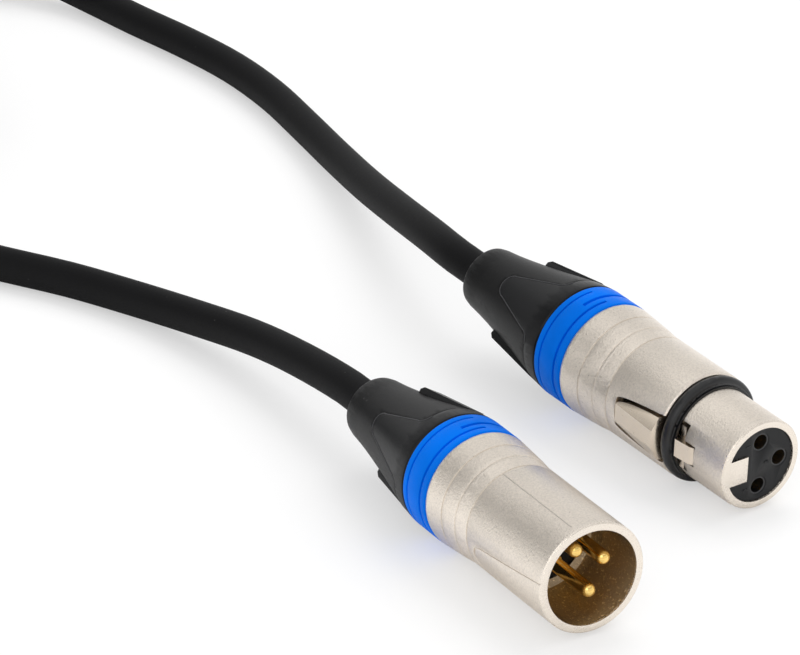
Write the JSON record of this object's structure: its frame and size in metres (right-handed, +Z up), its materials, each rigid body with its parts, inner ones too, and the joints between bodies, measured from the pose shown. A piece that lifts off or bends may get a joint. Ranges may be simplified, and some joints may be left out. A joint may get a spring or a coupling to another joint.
{
  "type": "microphone cable",
  "caption": "Balanced microphone cable with a male plug and a latching female plug, blue coding rings, strain-relief boots, and the spare cord wound into a tied coil.",
  "frame": {"origin": "bottom centre of the box round the two plugs (the cord, its coil and the tie are not counted)", "axes": "+X the way both plugs point, +Y from the male plug to the female plug, +Z up"},
  "size_m": [0.3032, 0.1526, 0.0306],
  "materials": {
    "nickel_shell": "satin nickel plate on die-cast metal, fine grain",
    "insert_plastic": "black moulded plastic",
    "gold_contact": "gold plated, bright",
    "tinned_tab": "tinned strip",
    "ring_blue": "blue semi-gloss plastic",
    "chuck_plastic": "natural white plastic",
    "gland_plastic": "black matt plastic",
    "boot_rubber": "black soft-touch elastomer",
    "cord_jacket": "black matt flexible jacket",
    "core_red": "red core insulation",
    "core_white": "white core insulation",
    "core_sleeved": "sleeved screen wire",
    "seal_rubber": "black satin rubber",
    "latch_metal": "bright nickel plated latch",
    "spring_steel": "spring steel",
    "tie_fabric": "black hook-and-loop strap"
  },
  "bodies": {
    "cable": {"male_shell": "nickel_shell", "male_insert": "insert_plastic", "male_pin_1": "gold_contact", "male_pin_2": "gold_contact", "male_pin_3": "gold_contact", "male_ground_tab": "tinned_tab", "male_coding_ring": "ring_blue", "male_chuck": "chuck_plastic", "male_gland_nut": "gland_plastic", "male_boot": "boot_rubber", "male_jacket": "cord_jacket", "male_core_hot": "core_red", "male_core_cold": "core_white", "male_core_screen": "core_sleeved", "female_shell": "nickel_shell", "female_insert": "insert_plastic", "female_contact_1": "gold_contact", "female_contact_2": "gold_contact", "female_contact_3": "gold_contact", "female_ground_tab": "tinned_tab", "female_seal": "seal_rubber", "female_latch_pin": "spring_steel", "female_latch_spring": "spring_steel", "female_coding_ring": "ring_blue", "female_chuck": "chuck_plastic", "female_gland_nut": "gland_plastic", "female_boot": "boot_rubber", "female_jacket": "cord_jacket", "female_core_hot": "core_red", "female_core_cold": "core_white", "female_core_screen": "core_sleeved", "cable_female_lead": "cord_jacket", "cable_coil": "cord_jacket", "cable_male_lead": "cord_jacket", "coil_tie": "tie_fabric"},
    "latch": {"female_latch": "latch_metal"}
  },
  "joints": [
    {"name": "latch_press", "type": "hinge", "parent": "cable", "child": "latch", "pos_m": [-0.00105, 0.01495, 0.01041], "axis": [0.0666, -0.0018, 0.9978], "range_deg": [0, 3.7], "stiffness_Nm_per_rad": 0.1, "springref_deg": -6.88, "deforming": ["female_latch_spring"]}
  ]
}
